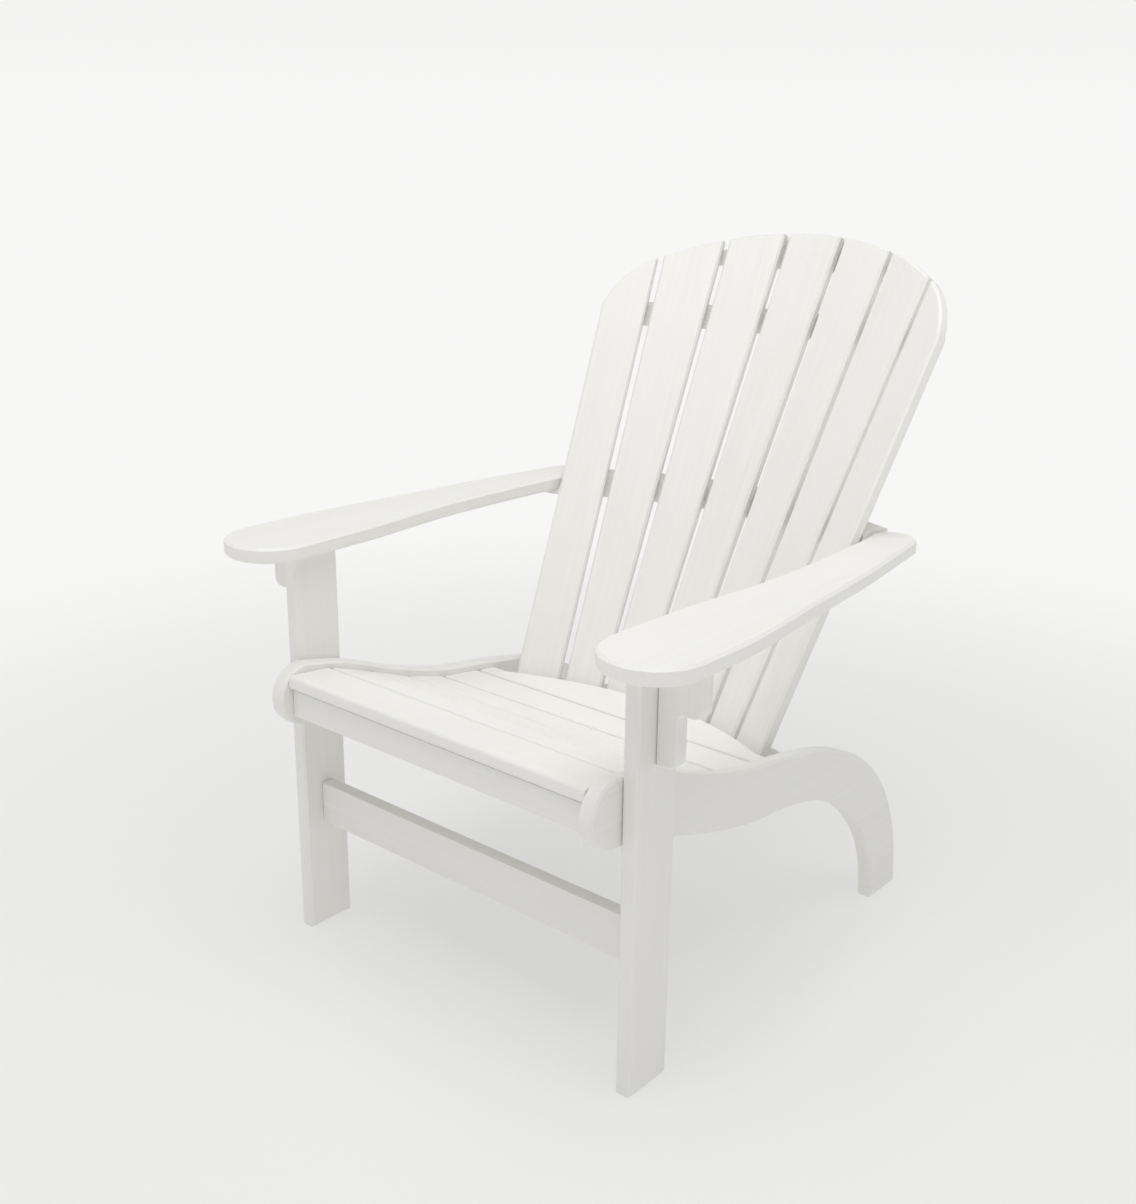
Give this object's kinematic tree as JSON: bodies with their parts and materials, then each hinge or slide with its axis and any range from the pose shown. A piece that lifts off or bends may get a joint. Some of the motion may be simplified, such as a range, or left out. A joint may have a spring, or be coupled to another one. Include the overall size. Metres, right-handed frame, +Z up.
{
  "type": "adirondack chair",
  "caption": "White poly lumber adirondack chair with a fanned, arched slat back, wide paddle arms, a sloping slatted seat and curved one-piece rear legs.",
  "frame": {"origin": "on the floor, midway between the four feet across the chair and at the middle of its overall depth", "axes": "+X to the sitter's left, which is the viewer's right from the front; +Y from the front of the seat to the back; +Z up"},
  "size_m": [0.7572, 0.8848, 0.9344],
  "materials": {
    "poly_lumber": "white high density polyethylene board, satin, with a faint lengthwise grain",
    "stainless_steel": "brushed stainless steel",
    "pin_plastic": "matte grey-white plastic"
  },
  "bodies": {
    "root": {"front_leg_left": "poly_lumber", "stringer_left": "poly_lumber", "seat_cleat_left": "poly_lumber", "arm_left": "poly_lumber", "arm_bracket_left": "poly_lumber", "leg_screw_left_front": "stainless_steel", "leg_screw_left_rear": "stainless_steel", "arm_screw_left": "stainless_steel", "lap_screw_left": "stainless_steel", "stretcher_dowel_left_lower": "pin_plastic", "stretcher_dowel_left_upper": "pin_plastic", "apron_dowel_left": "pin_plastic", "front_leg_right": "poly_lumber", "stringer_right": "poly_lumber", "seat_cleat_right": "poly_lumber", "arm_right": "poly_lumber", "arm_bracket_right": "poly_lumber", "leg_screw_right_front": "stainless_steel", "leg_screw_right_rear": "stainless_steel", "arm_screw_right": "stainless_steel", "lap_screw_right": "stainless_steel", "stretcher_dowel_right_lower": "pin_plastic", "stretcher_dowel_right_upper": "pin_plastic", "apron_dowel_right": "pin_plastic", "front_stretcher": "poly_lumber", "seat_apron": "poly_lumber", "seat_slat_1": "poly_lumber", "seat_slat_2": "poly_lumber", "seat_slat_3": "poly_lumber", "seat_slat_4": "poly_lumber", "seat_slat_5": "poly_lumber", "seat_slat_6": "poly_lumber", "back_slat_1": "poly_lumber", "back_slat_2": "poly_lumber", "back_slat_3": "poly_lumber", "back_slat_4": "poly_lumber", "back_slat_5": "poly_lumber", "back_slat_6": "poly_lumber", "back_slat_7": "poly_lumber", "back_rail_arm": "poly_lumber", "back_rail_upper": "poly_lumber", "back_rail_lower": "poly_lumber", "back_rail_top": "poly_lumber", "arm_rail_screw_1": "stainless_steel", "arm_rail_screw_2": "stainless_steel", "arm_rail_screw_3": "stainless_steel", "arm_rail_screw_4": "stainless_steel", "arm_rail_screw_5": "stainless_steel", "arm_rail_screw_6": "stainless_steel", "arm_rail_screw_7": "stainless_steel", "upper_rail_screw_1": "stainless_steel", "upper_rail_screw_2": "stainless_steel", "upper_rail_screw_3": "stainless_steel", "upper_rail_screw_4": "stainless_steel", "upper_rail_screw_5": "stainless_steel", "upper_rail_screw_6": "stainless_steel", "upper_rail_screw_7": "stainless_steel"}
  },
  "joints": []
}
